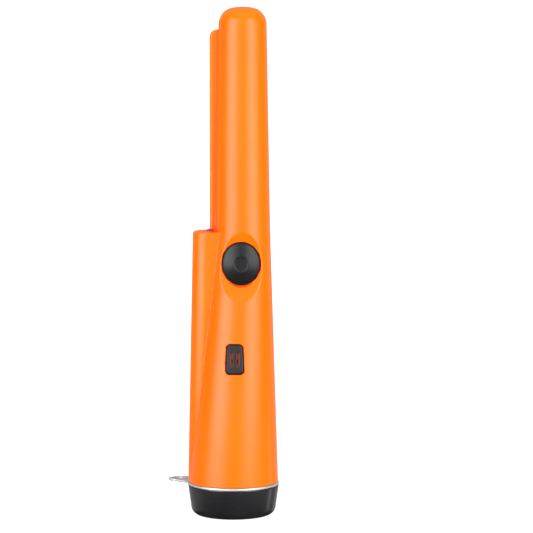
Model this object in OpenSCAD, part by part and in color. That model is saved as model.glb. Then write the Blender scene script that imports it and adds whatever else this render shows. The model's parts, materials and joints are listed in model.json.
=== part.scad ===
// Hand-held pinpointer probe: a one-piece orange housing with a round sensing barrel,
// a scraper blade and a lamp pod, and a black screw cap at the tail for a 9 V battery.
// Frame: +Z runs from the cap to the sensing tip, -Y is the button side, -X the lamp side.
// The origin is the centre of the cap's flat bottom.

/* [Housing] */
// Height of the sensing tip above the bottom of the cap
tip_z = 229; // [226:1:232]
// Height of the shelf where the handle ends and the barrel begins
shoulder_z = 128.5; // [127.5:0.5:129.5]
// Outer radius of the housing at its tail
tail_r = 20.2; // [20.1:0.1:20.6]
// Outer radius of the barrel at the shelf
shoulder_r = 12.3; // [12.2:0.1:12.6]
// Outer radius of the barrel at the tip
tip_r = 10.6; // [10.5:0.1:11]
// Sideways offset of the barrel from the tail's axis
barrel_x = 4.25; // [4:0.05:4.4]
// Radius of the round corner at the tip
tip_round = 4.9; // [4:0.1:6]
// Wall of the handle round the battery
handle_wall = 1.5; // [1.4:0.1:1.6]
// Wall of the barrel
barrel_wall = 2; // [1.8:0.1:2.2]

/* [Lamp pod and scraper blade] */
// Centre of the pod's round end, measured to the left of the tail's axis
pod_offset = 11.2; // [11:0.1:11.4]
// Centre of the lamp, measured to the left of the tail's axis
lamp_offset = 10.5; // [10.3:0.1:11]
// Half of the pod's depth from front to back
pod_r = 6.9; // [6.7:0.1:7.1]
// Distance of the blade's edge from the tail's axis
blade_reach = 10.5; // [10:0.1:11]
// Height of the top of the blade
blade_z = 218.8; // [216:0.2:220]
// Thickness of the blade
blade_t = 3.5; // [3:0.1:4]

/* [Button] */
// Width of the power button
button_w = 16.8; // [16.6:0.1:17]
// Height of the power button
button_h = 19.1; // [18.9:0.1:19.4]
// Height of the middle of the button above the bottom of the cap
button_z = 115; // [114.5:0.1:115.5]
// Sideways place of the middle of the button
button_x = 3.6; // [3.4:0.1:3.8]
// Travel of the button and of the switch under it
button_travel = 0.5; // [0.3:0.05:0.5]

/* [Speaker grille] */
// Height of the middle of the grille
grille_z = 71.5; // [71:0.1:73]
// Width of the grille at its top
grille_top_w = 7.3; // [7:0.1:7.6]
// Width of the grille at its bottom
grille_bottom_w = 8.4; // [7.8:0.1:8.6]
// Height of the grille
grille_h = 13.5; // [13.2:0.1:14.3]
// Width of each sound slot
slot_w = 1.1; // [0.9:0.1:1.2]

/* [Cap and lanyard ring] */
// Height of the cap's outer wall
cap_h = 13.75; // [13:0.05:14]
// Outer radius at the top of the cap
cap_r = 20.5; // [20:0.05:20.6]
// Pitch of the cap's thread
pitch = 2; // [2:0.1:2.2]
// Turns of the cap's thread
turns = 3; // [2:0.5:3]
// Thickness of the steel lanyard ring
ring_t = 1; // [0.9:0.1:1.3]
// Radius of the hole in the ring's lug
lug_hole_r = 2.25; // [2:0.05:2.4]
// Angle of the lug, turned back from the lamp side
lug_angle = 20; // [0:1:45]

/* [Electronics] */
// Width of the circuit board
board_w = 17; // [15:0.5:17]
// Radius of the ferrite rod
rod_r = 4; // [3.5:0.1:4]
// Diameter of the buzzer
buzzer_d = 12; // [11:0.5:12]

/* [Hidden] */
$fn = 64;
EPS = 0.05;

// Places along the probe's axis, from the tail to the tip
ring_z = cap_h + 0.05;
housing_z = cap_h + ring_t + 0.15;
insert_z = housing_z + 1.8;
insert_top = 26.6;
neck_top = 24.6;
thread_z = 17.5;
battery_z = 5.2;
bulkhead_z = 57.2;
bulkhead_t = 2;
board_z = 60;
board_top = 152;
disc_z = 154;
coil_z = 158;
coil_top = 221;
nose_z = tip_z - 4;
tip_dome = 0.75;

// Radii at the tail, from the battery bay outwards
bay_r = 16.1;
neck_r = 16.8;
crest_r = 17.4;
ring_in_r = 17.65;
ring_out_r = 20.5;
insert_r = 18.4;
root_r = 17.65;
nut_crest_r = 17.05;
fit_gap = 0.02;

// Depths, measured along Y: the board faces the button and the grille
board_y = -1;
board_t = 1.6;
plate_y = 3.6;
plate_t = 1.5;
well_y = -7.7;
floor_y = -5.9;
scoop_y = -9.5;
scoop_r = 33;
scoop_z = 115.6;
post_end_y = -5.2;
grille_tilt = atan((tail_r - shoulder_r) / (shoulder_z - housing_z));
grille_x = 0.76;
grille_floor = 14.6;
sound_wall_y = -12.6;

// The handle is a cone whose axis leans from the tail to the barrel
handle_len = shoulder_z - housing_z;
lean = atan(barrel_x / handle_len);
function handle_x(z) = barrel_x * (z - housing_z) / handle_len;
function handle_r(z) = tail_r + (shoulder_r - tail_r) * (z - housing_z) / handle_len;

// Lamp: radius of its lens, the height of the middle of its dome, and the pod it stands in
lamp_r = 2.5;
lamp_z = shoulder_z + 1.1 - lamp_r;
pod_tail_x = -13.55;

// Vibration motor, behind the chassis plate
motor_x = 2.4;
motor_y = 9;
motor_r = 3.5;
motor_z = 66;
motor_top = 80;
weight_r = 3.8;

// Battery block and its snap
battery_w = 26.5;
battery_d = 17.5;
battery_body = 46.4;
terminal_x = 6.35;

// Places of the board's screws, as [x, z]
screw_spots = [[-2.2, 81.5], [10.2, 66], [-2.2, 143], [10.2, 143]];

// Routes of the wires, as points of a smooth curve
red_route = [
    [-5.5, -3, 56.5], [-6, -3.5, 58], [-5, -5, 60.5], [-2.5, -4.5, 62], [-1.5, -2.5, 62.5], [-1.5, -1.1, 62.5]
];
black_route = [
    [-5.5, 3, 56.7], [-7, 2.5, 58], [-7.5, -1.5, 60.5], [-6, -4, 62.5], [-4, -3, 64], [-3.6, -1.1, 64]
];
lamp_route_a = [
    [-10.5, -1.3, 120.4], [-10.5, -1.3, 116], [-9, -3, 112.5], [-6, -4, 111], [-4, -3.2, 110.6], [-3.8, -1.1, 110.6]
];
lamp_route_b = [
    [-10.5, 1.3, 120.4], [-10.5, 1.3, 114], [-9, -0.5, 108], [-6, -3.4, 106], [-4, -3.2, 106], [-3.8, -1.1, 106]
];
motor_route_a = [
    [1.2, 9, 65.8], [0.8, 9, 64.2], [-1.4, 8.8, 63], [-4.6, 7, 63], [-5.6, 4, 63.4], [-4.8, 2, 64], [-3, 1.1, 64]
];
motor_route_b = [
    [3.6, 9, 65.8], [3.2, 9, 63.4], [0, 9, 61.4], [-4, 8.4, 61], [-7, 5, 61], [-6, 2.4, 61.2], [-3, 1.1, 61.4]
];
coil_routes = [
    for (x = [1.1, 3.1, 5.1, 7.1])
        [[x, -6.9, 160.6], [x, -7.4, 158], [x, -6.6, 154], [x, -3.5, 150], [x, -1.1, 149]]
];

// ---------- helpers ----------

// A cylinder that runs along Y, from y0 to y1
module along_y(x, z, y0, y1, r) {
    translate([x, y0, z])
        rotate([-90, 0, 0])
            cylinder(r = r, h = y1 - y0);
}

// An upright tube
module tube(z0, z1, r_in, r_out) {
    difference() {
        translate([0, 0, z0])
            cylinder(r = r_out, h = z1 - z0);
        translate([0, 0, z0 - 1])
            cylinder(r = r_in, h = z1 - z0 + 2);
    }
}

// Points of a closed polyhedron made of equal rings of points
module loft(rings) {
    n = len(rings[0]);
    m = len(rings);
    points = [for (ring = rings) for (p = ring) p];
    sides = [
        for (i = [0 : m - 2])
            for (j = [0 : n - 1])
                [i * n + j, i * n + (j + 1) % n, (i + 1) * n + (j + 1) % n, (i + 1) * n + j]
    ];
    first = [for (j = [n - 1 : -1 : 0]) j];
    last = [for (j = [0 : n - 1]) (m - 1) * n + j];
    polyhedron(points = points, faces = concat(sides, [first], [last]), convexity = 6);
}

// A point on the smooth curve through the points p, at t from 0 to 1 after point i
function curve_point(p, i, t) =
    let (
        a = p[max(i - 1, 0)],
        b = p[i],
        c = p[i + 1],
        d = p[min(i + 2, len(p) - 1)]
    )
    0.5 * (2 * b + (c - a) * t + (2 * a - 5 * b + 4 * c - d) * t * t + (3 * b - a - 3 * c + d) * t * t * t);

function smooth_path(p, steps) = concat(
    [for (i = [0 : len(p) - 2]) for (s = [0 : steps - 1]) curve_point(p, i, s / steps)],
    [p[len(p) - 1]]
);

function unit(v) = v / norm(v);

function direction(path, i) = unit(path[min(i + 1, len(path) - 1)] - path[max(i - 1, 0)]);

// For each point from i on, a direction square to the path that turns as little as it can
function sides_from(path, i, before) =
    let (
        along = direction(path, i),
        side = unit(before - (before * along) * along)
    )
    i == len(path) - 1 ? [side] : concat([side], sides_from(path, i + 1, side));

// A round wire of radius r along a smooth curve
module wire(route, r, steps = 3) {
    path = smooth_path(route, steps);
    sides = sides_from(path, 0, [0.31, 0.83, 0.46]);
    loft([
        for (i = [0 : len(path) - 1])
            let (up = cross(sides[i], direction(path, i)))
            [for (k = [0 : 7]) path[i] + r * (cos(45 * k) * sides[i] + sin(45 * k) * up)]
    ]);
}

// A screw thread's ridge: rises one pitch a turn, from the radius base to the radius crest
module ridge(z0, n_turns, base, crest, half_base, half_crest) {
    steps = 36;
    taper = 4;
    last = round(n_turns * steps);
    loft([
        for (i = [0 : last])
            let (
                a = 360 * i / steps,
                z = z0 + pitch * i / steps,
                grown = min(1, (i + 0.4) / taper, (last - i + 0.4) / taper),
                top = base + (crest - base) * grown,
                out = crest > base ? 1 : -1,
                section = [
                    [base - out * 0.2, -half_base], [top, -half_crest],
                    [top, half_crest], [base - out * 0.2, half_base]
                ],
                turned = out > 0 ? section : [section[3], section[2], section[1], section[0]]
            )
            [for (p = turned) [p[0] * cos(a), p[0] * sin(a), z + p[1]]]
    ]);
}

// Outline of the power button, an ellipse grown by g
function button_outline(g) =
    [for (k = [0 : 47]) [(button_w / 2 + g) * cos(7.5 * k), (button_h / 2 + g) * sin(7.5 * k)]];

// A ring of the button's surface: the ellipse scaled by s, at depth y
function button_ring(s, y) =
    [for (p = button_outline(0)) [button_x + p[0] * s, y, button_z - p[1] * s]];

// Outline of the grille, grown by g, with cut corners in place of its small round ones
module grille_outline(g) {
    corner = 1.7;
    top = grille_top_w / 2 + g;
    bottom = grille_bottom_w / 2 + g;
    h = grille_h / 2 + g;
    polygon([
        [-bottom + corner, -h], [bottom - corner, -h], [bottom - 0.4, -h + 0.4], [bottom, -h + corner],
        [top, h - corner], [top - 0.4, h - 0.4], [top - corner, h],
        [-top + corner, h], [-top + 0.4, h - 0.4], [-top, h - corner],
        [-bottom, -h + corner], [-bottom + 0.4, -h + 0.4]
    ]);
}

// Places something drawn in the plane of the grille: x across, y up the slope, z outwards
module on_grille(depth) {
    translate([grille_x, 0, grille_z])
        rotate([-grille_tilt, 0, 0])
            translate([0, -depth, 0])
                rotate([90, 0, 0])
                    children();
}

// Puts a piece on the leaning axis of the handle
module leaning() {
    translate([0, 0, housing_z])
        rotate([0, lean, 0])
            translate([0, 0, -housing_z])
                children();
}

// ---------- housing ----------

// A cone between two thin discs
module leaning_cone(x0, z0, r0, x1, z1, r1) {
    hull() {
        translate([x0, 0, z0])
            cylinder(r = r0, h = 0.1);
        translate([x1, 0, z1 - 0.1])
            cylinder(r = r1, h = 0.1);
    }
}

module barrel_outside() {
    arc = [
        for (a = [0 : 15 : 90])
            [tip_r - tip_round + tip_round * cos(a), tip_z - tip_dome - tip_round + tip_round * sin(a)]
    ];
    start = shoulder_z - 5;
    start_r = shoulder_r + 5 * (shoulder_r - tip_r) / (tip_z - shoulder_z);
    translate([barrel_x, 0, 0])
        rotate_extrude()
            polygon(concat([[0, start], [start_r, start]], arc, [[0, tip_z]]));
}

module blade() {
    round_r = 3.5;
    corner = [
        for (a = [90 : 15 : 180])
            [-blade_reach + round_r + round_r * cos(a), blade_z - round_r + round_r * sin(a)]
    ];
    translate([0, blade_t / 2, 0])
        rotate([90, 0, 0])
            linear_extrude(blade_t)
                polygon(concat([[0, shoulder_z - 4], [0, blade_z]], corner, [[-blade_reach, shoulder_z - 4]]));
}

// The pod's outline from the tail up to z1, with its round end of radius r
module pod_solid(z0, z1, r, x0, x1) {
    hull() {
        translate([x0, 0, z0])
            cylinder(r = r, h = 0.1, $fn = 32);
        translate([0, 0, z0])
            cylinder(r = r, h = 0.1, $fn = 32);
        translate([x1, 0, z1 - 0.1])
            cylinder(r = r, h = 0.1, $fn = 32);
        translate([barrel_x, 0, z1 - 0.1])
            cylinder(r = r, h = 0.1, $fn = 32);
    }
}

// The housing's cavity: wide at the battery, flat behind the grille and behind the button
module cavity() {
    difference() {
        leaning_cone(
            handle_x(insert_top), insert_top - 0.1, handle_r(insert_top) - handle_wall,
            barrel_x, shoulder_z, shoulder_r - 1.8
        );
        translate([-25, -45, 62])
            cube([50, 45 + sound_wall_y, 32]);
        translate([-25, -45, 93])
            cube([50, 45 + floor_y, 45]);
    }
}

module barrel_bore() {
    difference() {
        translate([barrel_x, 0, shoulder_z - 3])
            cylinder(r1 = shoulder_r - barrel_wall, r2 = tip_r - barrel_wall, h = nose_z - shoulder_z + 3);
        translate([-25, -45, 93])
            cube([50, 45 + floor_y, 42]);
    }
}

module housing() {
    color("darkorange")
        difference() {
            union() {
                leaning_cone(0, housing_z, tail_r, barrel_x, shoulder_z, shoulder_r - 0.05);
                barrel_outside();
                blade();
                pod_solid(housing_z + 1, shoulder_z, pod_r, pod_tail_x, -pod_offset);
            }
            cavity();
            barrel_bore();
            pod_solid(76, shoulder_z - 2, pod_r - 2.1, -11.6, -pod_offset);
            // seat of the threaded insert and of the seal
            translate([0, 0, housing_z - 1])
                cylinder(r = insert_r + fit_gap, h = insert_top - housing_z + 1);
            // hole for the lamp, which closes round its dome at the foot of the blade
            translate([-lamp_offset, 0, shoulder_z - 4])
                cylinder(r = lamp_r + 0.1, h = lamp_z - shoulder_z + 4);
            translate([-lamp_offset, 0, lamp_z])
                sphere(r = lamp_r + 0.1);
            // thumb recess
            translate([-30, scoop_y - scoop_r, scoop_z])
                rotate([0, 90, 0])
                    cylinder(r = scoop_r, h = 60, $fn = 96);
            // well of the button, its post's hole and the seat of the post's seal
            translate([button_x, well_y, button_z])
                rotate([90, 0, 0])
                    linear_extrude(10)
                        polygon(button_outline(0.2));
            along_y(button_x, button_z, -9, -4, 2.3);
            along_y(button_x, button_z, -9, floor_y - 0.35, 3.1);
            // pocket of the grille and the sound hole behind it
            on_grille(grille_floor)
                linear_extrude(6)
                    grille_outline(0.1);
            along_y(grille_x, grille_z, -17, -11, 1.3);
        }
}

// ---------- tail: insert, cap, seal and lanyard ring ----------

module thread_insert() {
    color("dimgray") {
        tube(insert_z, insert_top, root_r, insert_r);
        ridge(thread_z + 0.5 * pitch, turns, root_r, nut_crest_r, 0.45, 0.2);
    }
}

module battery_cap() {
    foot_r = 15.3;
    round_r = 3.8;
    arc = [
        for (a = [0 : 15 : 75])
            [foot_r + round_r * sin(a), round_r * (1 - cos(a))]
    ];
    profile = concat(
        arc,
        [[foot_r + round_r, round_r], [cap_r, cap_h - 0.4], [cap_r - 0.4, cap_h], [neck_r, cap_h]],
        [[neck_r, neck_top], [bay_r, neck_top], [bay_r, 2.6], [0, 2.6], [0, 0]]
    );
    color("dimgray") {
        rotate_extrude($fn = 96)
            polygon(profile);
        ridge(thread_z, turns, neck_r, crest_r, 0.5, 0.25);
    }
}

module cap_pad() {
    color("gray")
        translate([0, 0, 2.65])
            cylinder(r = 14.5, h = 2);
}

module seal_ring() {
    seal_r = 0.75;
    color("black")
        translate([0, 0, housing_z + 0.9])
            rotate_extrude($fn = 96)
                translate([neck_r + 0.06 + seal_r, 0])
                    circle(r = seal_r, $fn = 24);
}

// A flat steel ring with a tapered lug: straight sides from the ring to the lug's round end
module lanyard_ring() {
    lug_c = 26.4;
    lug_r = 4.6;
    root_x = 17;
    root_w = 8;
    color("silver")
        difference() {
            union() {
                translate([0, 0, ring_z])
                    cylinder(r = ring_out_r, h = ring_t);
                rotate([0, 0, 180 - lug_angle])
                    translate([0, 0, ring_z]) {
                        linear_extrude(ring_t)
                            polygon([[root_x, -root_w], [lug_c, -lug_r], [lug_c, lug_r], [root_x, root_w]]);
                        translate([lug_c, 0, 0])
                            cylinder(r = lug_r, h = ring_t);
                    }
            }
            translate([0, 0, ring_z - 1])
                cylinder(r = ring_in_r, h = ring_t + 2, $fn = 96);
            rotate([0, 0, 180 - lug_angle])
                translate([lug_c, 0, ring_z - 1])
                    cylinder(r = lug_hole_r, h = ring_t + 2);
        }
}

// ---------- power button and its switch ----------

module power_button() {
    color("dimgray") {
        loft([
            button_ring(0.985, well_y - 0.65),
            button_ring(1, well_y - 0.9),
            button_ring(1, -10.7),
            button_ring(0.97, -11.2),
            button_ring(0.8, -12),
            button_ring(0.6, -12.6),
            button_ring(0.4, -13),
            button_ring(0.33, -12.9)
        ]);
        along_y(button_x, button_z, well_y - 0.8, post_end_y, 2.2);
    }
}

module button_seal() {
    seal_r = 0.4;
    color("black")
        translate([button_x, well_y + 0.5, button_z])
            rotate([90, 0, 0])
                rotate_extrude()
                    translate([2.2 + 0.05 + seal_r, 0])
                        circle(r = seal_r, $fn = 24);
}

module button_clip() {
    color("silver")
        difference() {
            along_y(button_x, button_z, floor_y + 0.05, floor_y + 0.45, 3.3);
            along_y(button_x, button_z, floor_y - 1, floor_y + 1, 2.22);
            translate([button_x - 1.4, floor_y - 1, button_z - 5])
                cube([2.8, 2, 5]);
        }
}

module switch_body() {
    size = 6.2;
    depth = 3.5;
    color("silver")
        difference() {
            union() {
                translate([button_x - size / 2, board_y - depth, button_z - size / 2])
                    cube([size, depth, size]);
                for (sx = [-1, 1])
                    for (sz = [-1, 1])
                        translate([button_x + sx * 3.6 - 0.6, board_y - 0.8, button_z + sz * 2.25 - 0.35])
                            cube([1.2, 0.8, 0.7]);
            }
            along_y(button_x, button_z, board_y - depth - 1, board_y - 1.2, 1.78);
        }
}

module switch_stem() {
    color("black")
        along_y(button_x, button_z, post_end_y + 0.03, board_y - 1.2 - button_travel - 0.2, 1.72);
}

// ---------- speaker ----------

module speaker_grille() {
    plate = 1.5;
    slot_h = 6.7;
    slot_x = 1.43;
    color("dimgray")
        difference() {
            union() {
                on_grille(grille_floor + 0.05)
                    linear_extrude(plate - 0.4)
                        grille_outline(0);
                on_grille(grille_floor + plate - 0.4)
                    linear_extrude(0.45)
                        grille_outline(-0.5);
            }
            for (side = [-1, 1])
                on_grille(grille_floor - 1)
                    translate([side * slot_x - slot_w / 2, -slot_h / 2, 0])
                        cube([slot_w, slot_h, 5]);
        }
}

module sound_membrane() {
    color("black")
        along_y(grille_x, grille_z, sound_wall_y + 0.02, sound_wall_y + 0.27, 4);
}

module buzzer_gasket() {
    color("dimgray")
        difference() {
            along_y(grille_x, grille_z, sound_wall_y + 0.3, board_y - 9.55, buzzer_d / 2 - 0.4);
            along_y(grille_x, grille_z, -20, 0, 3.6);
        }
}

module buzzer() {
    color("black") {
        difference() {
            along_y(grille_x, grille_z, board_y - 9.5, board_y - 0.3, buzzer_d / 2);
            along_y(grille_x, grille_z, board_y - 11, board_y - 6, 1.2);
        }
        for (side = [-1, 1])
            along_y(grille_x + side * 3.2, grille_z, board_y - 0.4, board_y, 0.35);
    }
}

// ---------- lamp ----------

module lamp() {
    flange = [[0, 120.5], [2.9, 120.5], [2.9, 121.5], [lamp_r, 121.5], [lamp_r, lamp_z]];
    dome = [for (a = [15 : 15 : 90]) [lamp_r * cos(a), lamp_z + lamp_r * sin(a)]];
    color("white")
        translate([-lamp_offset, 0, 0])
            rotate_extrude()
                polygon(concat(flange, dome));
}

module lamp_leads() {
    color("silver") {
        wire(lamp_route_a, 0.3);
        wire(lamp_route_b, 0.3);
    }
}

// ---------- chassis and circuit board ----------

module chassis() {
    plate_x = 4;
    plate_w = 13;
    color("ivory")
        difference() {
            union() {
                // bulkhead above the battery
                translate([handle_x(bulkhead_z), 0, bulkhead_z])
                    cylinder(r = 15.2, h = bulkhead_t);
                // plate behind the board
                translate([plate_x - plate_w / 2, plate_y, bulkhead_z + 1])
                    cube([plate_w, plate_t, disc_z - bulkhead_z + 1]);
                // disc that carries the coil former
                translate([barrel_x, 0, disc_z])
                    cylinder(r = 8.8, h = 3.8);
                // posts under the board, and their wings on the plate
                for (spot = screw_spots) {
                    along_y(spot[0], spot[1], board_y + board_t, plate_y + plate_t, 1.9);
                    translate([min(spot[0], plate_x), plate_y, spot[1] - 1.9])
                        cube([abs(spot[0] - plate_x), plate_t, 3.8]);
                }
                // ribs that hold the motor
                for (z = [68, 77])
                    translate([motor_x - 2.5, plate_y + plate_t - EPS, z])
                        cube([5, 0.4, 1.2]);
            }
            for (spot = screw_spots)
                along_y(spot[0], spot[1], board_y, 8, 0.95);
            // notches for the wires and for the rod's end
            translate([-9.2, -7, bulkhead_z - 1])
                cube([5.5, 12, bulkhead_t + 2]);
            translate([barrel_x - 5, -12, disc_z - 1])
                cube([10, 6.9, 6]);
            translate([barrel_x, 0, disc_z + 1.5])
                cylinder(r = rod_r + 0.1, h = 4);
        }
}

module main_board() {
    color("green")
        difference() {
            translate([4 - board_w / 2, board_y, board_z])
                cube([board_w, board_t, board_top - board_z]);
            for (spot = screw_spots)
                along_y(spot[0], spot[1], board_y - 1, board_y + board_t + 1, 1.1);
        }
}

module board_screws() {
    color("silver")
        for (spot = screw_spots)
            difference() {
                union() {
                    along_y(spot[0], spot[1], board_y - 1.4, board_y, 1.6);
                    along_y(spot[0], spot[1], board_y - 0.2, plate_y + 0.8, 0.9);
                }
                for (turn = [0, 90])
                    translate([spot[0], board_y - 1.4, spot[1]])
                        rotate([0, turn, 0])
                            cube([1.9, 1.2, 0.4], center = true);
            }
}

// A chip with n legs along each of its two long sides, standing on the board's front
module chip(x, z, w, h, t, legs) {
    step = h / (legs + 1);
    translate([x - w / 2, board_y - t - 0.15, z - h / 2])
        cube([w, t, h]);
    for (side = [-1, 1])
        for (k = [1 : legs])
            translate([x + side * (w / 2 + 0.4) - 0.5, board_y - 0.5, z - h / 2 + k * step - 0.2])
                cube([1, 0.5, 0.4]);
}

module control_chip() {
    color("black")
        chip(4, 96, 6.5, 9, 1.6, 8);
}

module amplifier_chips() {
    color("black")
        for (z = [128, 138])
            chip(4, z, 4, 5, 1.5, 4);
}

module voltage_regulator() {
    color("black")
        chip(10, 84, 2.6, 4.4, 1.5, 3);
}

module capacitors() {
    can_h = 4.5;
    color("silver")
        for (spot = [[10, 76], [-1.6, 86], [10, 104]])
            along_y(spot[0], spot[1], board_y - can_h, board_y, 2);
}

module resistors() {
    color("black") {
        for (z = [88 : 4 : 100])
            translate([-1.8, board_y - 0.6, z + 4])
                cube([1.2, 0.6, 2]);
        for (z = [122 : 4 : 138])
            translate([9.4, board_y - 0.6, z - 2])
                cube([1.2, 0.6, 2]);
    }
}

// A flat can with round ends
module crystal() {
    color("silver")
        hull()
            for (z = [88.4, 91.6])
                along_y(10, z, board_y - 3.4, board_y, 1.6, $fn = 32);
}

// ---------- vibration motor ----------

module motor_can() {
    color("silver")
        translate([motor_x, motor_y, 0])
            difference() {
                union() {
                    translate([0, 0, motor_z])
                        cylinder(r = motor_r, h = motor_top - motor_z - 1);
                    translate([0, 0, motor_top - 1.5])
                        cylinder(r = 1.4, h = 1.5);
                }
                translate([0, 0, motor_z + 1.5])
                    cylinder(r = 0.56, h = motor_top - motor_z, $fn = 32);
            }
}

module motor_shaft() {
    color("silver")
        translate([motor_x, motor_y, motor_z + 2])
            cylinder(r = 0.5, h = 84.5 - motor_z, $fn = 32);
}

// Half a disc of heavy metal, with a hub round the shaft
module motor_weight() {
    bottom = motor_top + 0.6;
    color("gray")
        translate([motor_x, motor_y, bottom])
            difference() {
                union() {
                    intersection() {
                        cylinder(r = weight_r, h = 4.6);
                        translate([-6, -6, -1])
                            cube([12, 6.5, 7]);
                    }
                    cylinder(r = 1.3, h = 4.6);
                }
                translate([0, 0, -1])
                    cylinder(r = 0.52, h = 7, $fn = 32);
            }
}

// A strap over the motor, with two feet on the chassis plate
module motor_clip() {
    z0 = 71;
    h = 4;
    foot_y = plate_y + plate_t + 0.03;
    color("silver") {
        difference() {
            translate([motor_x, motor_y, z0])
                cylinder(r = motor_r + 0.6, h = h);
            translate([motor_x, motor_y, z0 - 1])
                cylinder(r = motor_r + 0.05, h = h + 2);
            translate([motor_x - 6, -1, z0 - 1])
                cube([12, motor_y - 0.5, h + 2]);
        }
        for (side = [-1, 1])
            translate([motor_x + side * (motor_r + 0.35) - 0.25, foot_y, z0])
                cube([0.5, motor_y - 1.3 - foot_y + 0.1, h]);
        for (side = [-1, 1])
            translate([motor_x + side * (motor_r + 1.2) - 1.1, foot_y, z0])
                cube([2.2, 0.5, h]);
    }
}

module motor_leads() {
    color("navy") {
        wire(motor_route_a, 0.45);
        wire(motor_route_b, 0.45);
    }
}

// ---------- battery and its leads ----------

module battery() {
    round_r = 1.5;
    color("goldenrod")
        leaning()
            translate([-battery_w / 2, -battery_d / 2, battery_z])
                difference() {
                    cube([battery_w, battery_d, battery_body]);
                    for (corner = [[0, 0, 0], [battery_w, 0, 90], [battery_w, battery_d, 180], [0, battery_d, 270]])
                        translate([corner[0], corner[1], -1])
                            rotate([0, 0, corner[2]])
                                difference() {
                                    translate([-1, -1, 0])
                                        cube([round_r + 1, round_r + 1, battery_body + 2]);
                                    translate([round_r, round_r, -1])
                                        cylinder(r = round_r, h = battery_body + 4);
                                }
                }
}

module battery_terminals() {
    top = battery_z + battery_body;
    color("silver")
        leaning() {
            translate([terminal_x, 0, top])
                cylinder(r = 2.9, h = 2);
            translate([-terminal_x, 0, top])
                difference() {
                    cylinder(r = 4.1, h = 2.1);
                    translate([0, 0, 0.6])
                        cylinder(r = 3, h = 3);
                }
        }
}

module battery_snap() {
    top = battery_z + battery_body;
    color("dimgray")
        leaning()
            difference() {
                translate([-12.5, -6, top + 0.1])
                    cube([25, 12, 4.2]);
                translate([terminal_x, 0, top - 1])
                    cylinder(r = 3.2, h = 3.2);
                translate([-terminal_x, 0, top - 1])
                    cylinder(r = 4.4, h = 3.3);
            }
}

module battery_lead_red() {
    color("red")
        wire(red_route, 0.6);
}

module battery_lead_black() {
    color("black")
        wire(black_route, 0.6);
}

// ---------- search coils ----------

module ferrite_rod() {
    color("dimgray")
        translate([barrel_x, 0, disc_z + 2])
            cylinder(r = rod_r, h = coil_top + 1.5 - disc_z - 2);
}

module coil_former() {
    flange_r = 8.2;
    tube_r = rod_r + 1;
    color("ivory")
        translate([barrel_x, 0, 0])
            difference() {
                union() {
                    translate([0, 0, coil_z])
                        cylinder(r = tube_r, h = coil_top - coil_z);
                    for (z = [coil_z, 176, 203, coil_top - 1.5])
                        translate([0, 0, z])
                            cylinder(r = flange_r, h = 1.5);
                }
                translate([0, 0, coil_z - 1])
                    cylinder(r = rod_r + fit_gap, h = coil_top - coil_z + 2);
                translate([-5, -12, coil_z - 1])
                    cube([10, 5.6, 3]);
            }
}

// One winding between two flanges, with the slight swell of its last layer
module winding(z0, z1, r) {
    inner = rod_r + 1 + fit_gap;
    translate([barrel_x, 0, 0])
        rotate_extrude()
            polygon([
                [inner, z0], [r - 0.3, z0], [r, z0 + 1], [r, z1 - 1], [r - 0.3, z1], [inner, z1]
            ]);
}

module transmit_coil() {
    color("chocolate")
        winding(177.55, 202.95, 7.2);
}

module receive_coils() {
    color("peru") {
        winding(coil_z + 3, 175.95, 6.2);
        winding(204.55, coil_top - 1.55, 6.2);
    }
}

module coil_leads() {
    color("chocolate")
        for (route = coil_routes)
            wire(route, 0.25);
}

module nose_pad() {
    color("gray")
        translate([barrel_x, 0, coil_top + 1.6])
            cylinder(r = 8.2, h = nose_z - coil_top - 1.7);
}

housing();
thread_insert();
battery_cap();
cap_pad();
seal_ring();
lanyard_ring();
power_button();
button_seal();
button_clip();
switch_body();
switch_stem();
speaker_grille();
sound_membrane();
buzzer_gasket();
buzzer();
lamp();
lamp_leads();
chassis();
main_board();
board_screws();
control_chip();
amplifier_chips();
voltage_regulator();
capacitors();
resistors();
crystal();
motor_can();
motor_shaft();
motor_weight();
motor_clip();
motor_leads();
battery();
battery_terminals();
battery_snap();
battery_lead_red();
battery_lead_black();
ferrite_rod();
coil_former();
transmit_coil();
receive_coils();
coil_leads();
nose_pad();
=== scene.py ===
"""Looks of the pinpointer probe: a hand-held orange probe with a black button, a grille and a screw cap.

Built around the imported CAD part. Shapes are worked out in millimetres, in the CAD frame: +Z runs from
the cap to the sensing tip, -Y is the button side and -X the side of the lamp and the scraper blade.
"""

import json
import math

import bpy
import numpy as np
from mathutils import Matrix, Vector


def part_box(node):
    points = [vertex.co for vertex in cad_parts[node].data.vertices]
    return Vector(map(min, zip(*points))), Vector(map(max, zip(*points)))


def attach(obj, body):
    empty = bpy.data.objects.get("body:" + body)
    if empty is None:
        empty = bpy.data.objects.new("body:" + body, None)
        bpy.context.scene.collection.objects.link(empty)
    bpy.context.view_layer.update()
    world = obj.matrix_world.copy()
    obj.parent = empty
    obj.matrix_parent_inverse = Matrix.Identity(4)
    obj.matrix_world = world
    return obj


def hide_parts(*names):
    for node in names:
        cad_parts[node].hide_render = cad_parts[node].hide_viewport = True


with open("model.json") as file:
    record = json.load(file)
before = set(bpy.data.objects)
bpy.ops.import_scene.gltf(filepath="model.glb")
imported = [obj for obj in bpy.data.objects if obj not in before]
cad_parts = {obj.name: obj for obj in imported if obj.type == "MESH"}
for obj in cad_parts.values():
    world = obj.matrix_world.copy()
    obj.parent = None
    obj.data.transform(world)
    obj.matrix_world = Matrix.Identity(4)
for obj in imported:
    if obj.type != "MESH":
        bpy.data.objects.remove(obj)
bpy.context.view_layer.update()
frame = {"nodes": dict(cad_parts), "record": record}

MM = 0.001
TAU = 2 * math.pi


def node_box(name):
    """The lowest and highest corner of a CAD node, in millimetres."""
    low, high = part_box(name)
    return np.array(low) / MM, np.array(high) / MM


# ---------- places and sizes, read from the CAD nodes ----------

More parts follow.
